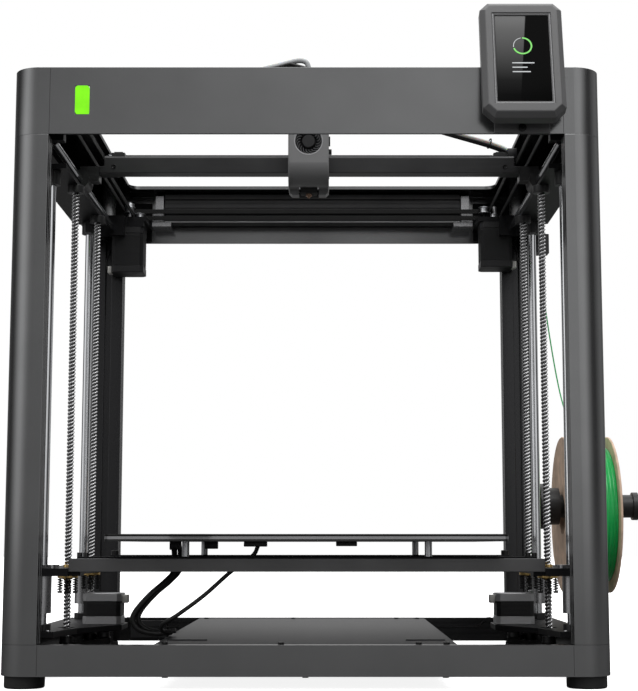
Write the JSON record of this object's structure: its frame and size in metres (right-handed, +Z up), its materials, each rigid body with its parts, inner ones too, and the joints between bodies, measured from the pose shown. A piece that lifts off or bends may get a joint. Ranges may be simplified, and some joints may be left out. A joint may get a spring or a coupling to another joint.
{
  "type": "fdm 3d printer",
  "caption": "Open box-frame filament 3D printer: dark metal rings and corner posts, lifting bed on screws, belt-driven print head, tilted touch display and side spool.",
  "frame": {"origin": "on the floor plane, midway between the four feet", "axes": "+X to the right seen from the front, +Y to the back, +Z up"},
  "size_m": [0.7215, 0.6581, 0.6885],
  "materials": {
    "frame_paint": "satin dark grey coating",
    "black_metal": "black anodised",
    "sheet_black": "matt black",
    "rubber": "matt",
    "steel_rod": "ground",
    "screw_steel": "bright",
    "motor": "black laminations with grey end caps",
    "brass": "turned",
    "black_plastic": "matt",
    "grey_plastic": "fine moulded texture",
    "pulley": "machined",
    "belt": "ribbed",
    "plate": "dark",
    "pei": "fine grained",
    "lens": "glowing green",
    "screen": "gloss",
    "board": "circuit board",
    "card": "plain board",
    "cable": "satin",
    "spring": "blackened"
  },
  "bodies": {
    "frame": {"base_frame_ring": "frame_paint", "top_frame_ring": "frame_paint", "corner_columns": "frame_paint", "rubber_feet": "rubber", "electronics_tray": "sheet_black", "electronics_cover": "sheet_black", "control_electronics": "board", "power_inlet": "black_plastic", "z_base_plates": "sheet_black", "z_top_plates": "sheet_black", "stepper_motors": "motor", "z_guide_rods": "steel_rod", "z_end_blocks": "black_metal", "y_guide_rods": "steel_rod", "gantry_brackets": "sheet_black", "rear_crossbeam": "black_metal", "beam_clips": "black_metal", "timing_belts": "belt", "belt_moving_runs": "belt", "status_light": "lens", "display_housing": "black_plastic", "display_screen": "screen", "display_bracket": "sheet_black", "frame_screws": "spring", "spool_holder": "black_plastic", "filament_sensor": "black_plastic", "cable_looms": "cable"},
    "bed": {"bed_frame": "black_metal", "bed_brackets": "sheet_black", "z_bearings": "screw_steel", "z_nuts": "brass", "nut_springs": "spring", "bed_supports": "pulley", "heated_bed": "plate", "build_sheet": "pei"},
    "gantry": {"x_beam": "black_metal", "y_carriages": "black_metal"},
    "head": {"head_mount": "black_metal", "extruder_hotend": "black_metal", "head_cover": "grey_plastic"},
    "fan": {"fan_rotor": "black_plastic"},
    "extruder_gear": {"extruder_gear": "screw_steel"},
    "spool": {"filament_spool": "card"},
    "rocker": {"switch_rocker": "black_plastic"},
    "lead_screw_front_left": {"lead_screw_front_left": "screw_steel"},
    "lead_screw_front_right": {"lead_screw_front_right": "screw_steel"},
    "lead_screw_rear_left": {"lead_screw_rear_left": "screw_steel"},
    "lead_screw_rear_right": {"lead_screw_rear_right": "screw_steel"},
    "z_drive_pulley_left": {"z_drive_pulley_left": "pulley"},
    "z_drive_pulley_right": {"z_drive_pulley_right": "pulley"},
    "xy_pulley_left": {"xy_pulley_left": "pulley"},
    "xy_pulley_right": {"xy_pulley_right": "pulley"},
    "front_idler_left": {"front_idler_left": "pulley"},
    "front_idler_right": {"front_idler_right": "pulley"},
    "rear_idler_left": {"rear_idler_left": "pulley"},
    "rear_idler_right": {"rear_idler_right": "pulley"},
    "carriage_idler_left_low": {"carriage_idler_left_low": "pulley"},
    "carriage_idler_left_high": {"carriage_idler_left_high": "pulley"},
    "carriage_idler_right_low": {"carriage_idler_right_low": "pulley"},
    "carriage_idler_right_high": {"carriage_idler_right_high": "pulley"}
  },
  "joints": [
    {"name": "bed_lift", "type": "slide", "parent": "frame", "child": "bed", "axis": [0, 0, 1], "range_m": [-0.01, 0.376], "deforming": ["cable_looms"]},
    {"name": "gantry_slide", "type": "slide", "parent": "frame", "child": "gantry", "axis": [0, 1, 0], "range_m": [-0.15, 0.245], "deforming": ["cable_looms", "belt_moving_runs"]},
    {"name": "head_slide", "type": "slide", "parent": "gantry", "child": "head", "axis": [1, 0, 0], "range_m": [-0.2, 0.2], "deforming": ["cable_looms", "belt_moving_runs"]},
    {"name": "lead_screw_front_left_turn", "type": "hinge", "parent": "frame", "child": "lead_screw_front_left", "pos_m": [-0.257, -0.1195, 0.3], "axis": [0, 0, 1], "range_deg": [-452, 16922]},
    {"name": "lead_screw_front_right_turn", "type": "hinge", "parent": "frame", "child": "lead_screw_front_right", "pos_m": [0.257, -0.1195, 0.3], "axis": [0, 0, 1], "range_deg": [-452, 16922]},
    {"name": "lead_screw_rear_left_turn", "type": "hinge", "parent": "frame", "child": "lead_screw_rear_left", "pos_m": [-0.257, 0.0415, 0.3], "axis": [0, 0, 1], "range_deg": [-452, 16922]},
    {"name": "lead_screw_rear_right_turn", "type": "hinge", "parent": "frame", "child": "lead_screw_rear_right", "pos_m": [0.257, 0.0415, 0.3], "axis": [0, 0, 1], "range_deg": [-452, 16922]},
    {"name": "z_drive_left_turn", "type": "hinge", "parent": "frame", "child": "z_drive_pulley_left", "pos_m": [-0.2295, -0.0365, 0.034], "axis": [0, 0, 1], "range_deg": [-452, 16922]},
    {"name": "z_drive_right_turn", "type": "hinge", "parent": "frame", "child": "z_drive_pulley_right", "pos_m": [0.2295, -0.0365, 0.034], "axis": [0, 0, 1], "range_deg": [-452, 16922]},
    {"name": "xy_pulley_left_turn", "type": "hinge", "parent": "frame", "child": "xy_pulley_left", "pos_m": [-0.244, 0.23715, 0.575], "axis": [0, 0, 1], "range_deg": [-1285, 2098]},
    {"name": "front_idler_left_turn", "type": "hinge", "parent": "frame", "child": "front_idler_left", "pos_m": [-0.244, -0.2505, 0.575], "axis": [0, 0, 1], "range_deg": [-1285, 2098]},
    {"name": "rear_idler_left_turn", "type": "hinge", "parent": "frame", "child": "rear_idler_left", "pos_m": [-0.2306, 0.23715, 0.575], "axis": [0, 0, 1], "range_deg": [-2098, 1285]},
    {"name": "carriage_idler_left_low_turn", "type": "hinge", "parent": "gantry", "child": "carriage_idler_left_low", "pos_m": [-0.2306, -0.038, 0.575], "axis": [0, 0, 1], "range_deg": [-1713, 1713]},
    {"name": "carriage_idler_left_high_turn", "type": "hinge", "parent": "gantry", "child": "carriage_idler_left_high", "pos_m": [-0.2306, -0.038, 0.575], "axis": [0, 0, 1], "range_deg": [-1713, 1713]},
    {"name": "xy_pulley_right_turn", "type": "hinge", "parent": "frame", "child": "xy_pulley_right", "pos_m": [0.244, 0.23715, 0.575], "axis": [0, 0, 1], "range_deg": [-2098, 1285]},
    {"name": "front_idler_right_turn", "type": "hinge", "parent": "frame", "child": "front_idler_right", "pos_m": [0.244, -0.2505, 0.575], "axis": [0, 0, 1], "range_deg": [-2098, 1285]},
    {"name": "rear_idler_right_turn", "type": "hinge", "parent": "frame", "child": "rear_idler_right", "pos_m": [0.2306, 0.23715, 0.575], "axis": [0, 0, 1], "range_deg": [-1285, 2098]},
    {"name": "carriage_idler_right_low_turn", "type": "hinge", "parent": "gantry", "child": "carriage_idler_right_low", "pos_m": [0.2306, -0.038, 0.575], "axis": [0, 0, 1], "range_deg": [-1713, 1713]},
    {"name": "carriage_idler_right_high_turn", "type": "hinge", "parent": "gantry", "child": "carriage_idler_right_high", "pos_m": [0.2306, -0.038, 0.575], "axis": [0, 0, 1], "range_deg": [-1713, 1713]},
    {"name": "fan_spin", "type": "hinge", "parent": "head", "child": "fan", "pos_m": [0, -0.1215, 0.5803], "axis": [0, 1, 0], "continuous": true},
    {"name": "spool_spin", "type": "hinge", "parent": "frame", "child": "spool", "pos_m": [0.3575, 0.2385, 0.1765], "axis": [1, 0, 0], "continuous": true},
    {"name": "extruder_gear_turn", "type": "hinge", "parent": "head", "child": "extruder_gear", "pos_m": [0.0069, -0.0865, 0.589], "axis": [0, 1, 0], "continuous": true},
    {"name": "power_rocker", "type": "hinge", "parent": "frame", "child": "rocker", "pos_m": [-0.201, 0.2835, 0.028], "axis": [1, 0, 0], "range_deg": [-2, 9]}
  ],
  "couplings": [
    {"joint": "lead_screw_front_left_turn", "follows": "bed_lift", "rad_per_m": 785.4},
    {"joint": "lead_screw_front_right_turn", "follows": "bed_lift", "rad_per_m": 785.4},
    {"joint": "lead_screw_rear_left_turn", "follows": "bed_lift", "rad_per_m": 785.4},
    {"joint": "lead_screw_rear_right_turn", "follows": "bed_lift", "rad_per_m": 785.4},
    {"joint": "z_drive_left_turn", "follows": "bed_lift", "rad_per_m": 785.4},
    {"joint": "z_drive_right_turn", "follows": "bed_lift", "rad_per_m": 785.4},
    {"joint": "xy_pulley_left_turn", "follows": "gantry_slide", "rad_per_m": 149.25},
    {"joint": "front_idler_left_turn", "follows": "gantry_slide", "rad_per_m": 149.25},
    {"joint": "rear_idler_left_turn", "follows": "gantry_slide", "rad_per_m": -149.25},
    {"joint": "carriage_idler_left_low_turn", "follows": "head_slide", "rad_per_m": 149.25},
    {"joint": "carriage_idler_left_high_turn", "follows": "head_slide", "rad_per_m": -149.25},
    {"joint": "xy_pulley_right_turn", "follows": "gantry_slide", "rad_per_m": -149.25},
    {"joint": "front_idler_right_turn", "follows": "gantry_slide", "rad_per_m": -149.25},
    {"joint": "rear_idler_right_turn", "follows": "gantry_slide", "rad_per_m": 149.25},
    {"joint": "carriage_idler_right_low_turn", "follows": "head_slide", "rad_per_m": -149.25},
    {"joint": "carriage_idler_right_high_turn", "follows": "head_slide", "rad_per_m": 149.25},
    {"joint": "extruder_gear_turn", "follows": "spool_spin", "ratio": -14}
  ]
}
